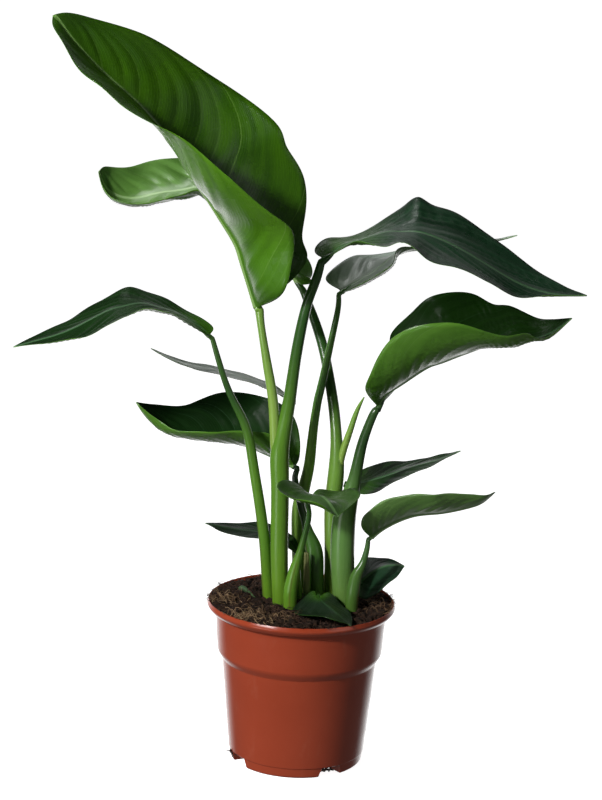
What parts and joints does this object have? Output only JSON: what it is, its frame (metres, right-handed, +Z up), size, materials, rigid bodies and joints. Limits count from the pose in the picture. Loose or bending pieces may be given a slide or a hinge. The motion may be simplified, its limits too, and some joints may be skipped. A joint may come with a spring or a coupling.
{
  "type": "potted giant white bird of paradise",
  "caption": "Young upright foliage plant with large boat-shaped pleated leaves on long stalks, growing in soil in a round stepped plastic nursery pot.",
  "frame": {"origin": "centre of the pot's foot, on the surface that the pot stands on", "axes": "+Z up along the pot's axis, +X to the right and -Y to the front, as in the picture"},
  "size_m": [0.4957, 0.2195, 0.6651],
  "materials": {
    "leaf_blade": "waxy dark green leaf with a satin shine",
    "leaf_stalk": "smooth green stalk",
    "old_leaf_base": "dried leaf base",
    "pot_plastic": "moulded terracotta-brown plastic, soft shine",
    "soil": "loose dark peat with pale fibres"
  },
  "bodies": {
    "root": {"leaf_01_blade": "leaf_blade", "leaf_01_stalk": "leaf_stalk", "leaf_02_blade": "leaf_blade", "leaf_02_stalk": "leaf_stalk", "leaf_03_blade": "leaf_blade", "leaf_03_stalk": "leaf_stalk", "leaf_04_blade": "leaf_blade", "leaf_04_stalk": "leaf_stalk", "leaf_05_blade": "leaf_blade", "leaf_05_stalk": "leaf_stalk", "leaf_06_blade": "leaf_blade", "leaf_06_stalk": "leaf_stalk", "leaf_07_blade": "leaf_blade", "leaf_07_stalk": "leaf_stalk", "leaf_08_blade": "leaf_blade", "leaf_08_stalk": "leaf_stalk", "leaf_10_blade": "leaf_blade", "leaf_10_stalk": "leaf_stalk", "leaf_11_blade": "leaf_blade", "leaf_11_stalk": "leaf_stalk", "leaf_12_blade": "leaf_blade", "leaf_12_stalk": "leaf_stalk", "leaf_13_blade": "leaf_blade", "leaf_13_stalk": "leaf_stalk", "leaf_14_blade": "leaf_blade", "leaf_14_stalk": "leaf_stalk", "leaf_15_blade": "leaf_blade", "leaf_15_stalk": "leaf_stalk", "leaf_09_spear": "leaf_stalk", "old_leaf_base": "old_leaf_base", "pot": "pot_plastic", "soil": "soil"}
  },
  "joints": []
}
